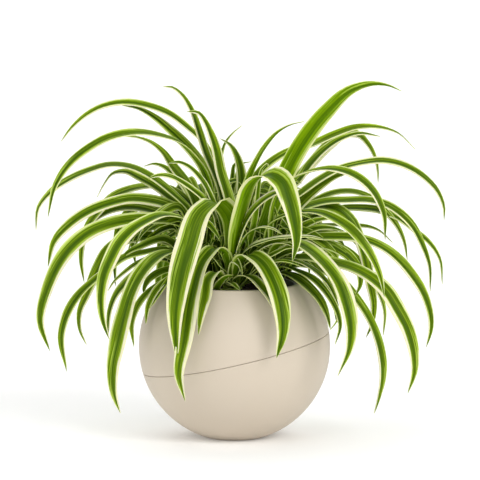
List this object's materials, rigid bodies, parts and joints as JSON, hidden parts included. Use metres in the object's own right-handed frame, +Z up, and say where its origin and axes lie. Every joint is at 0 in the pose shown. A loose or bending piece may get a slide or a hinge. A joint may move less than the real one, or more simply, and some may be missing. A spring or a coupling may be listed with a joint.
{
  "type": "potted spider plant",
  "caption": "Variegated spider plant with long arching striped leaves, standing in soil in a nursery pot inside a globe-shaped pot with an oblique seam.",
  "frame": {"origin": "centre of the flat foot under the globe pot, at the level of what it stands on", "axes": "+Z up along the pot's axis, -Y to the front, +X to the right as seen from the front"},
  "size_m": [0.3424, 0.2562, 0.3049],
  "materials": {
    "pot_plastic": "matte",
    "nursery_plastic": "satin",
    "potting_soil": "rough",
    "leaf": "satin"
  },
  "bodies": {
    "root": {"pot_lower_shell": "pot_plastic", "pot_upper_shell": "pot_plastic", "nursery_pot": "nursery_plastic", "soil": "potting_soil", "shoot_front": "leaf", "shoot_left": "leaf", "shoot_right": "leaf", "shoot_heart": "leaf", "shoot_back_left": "leaf", "shoot_back_right": "leaf"}
  },
  "joints": []
}
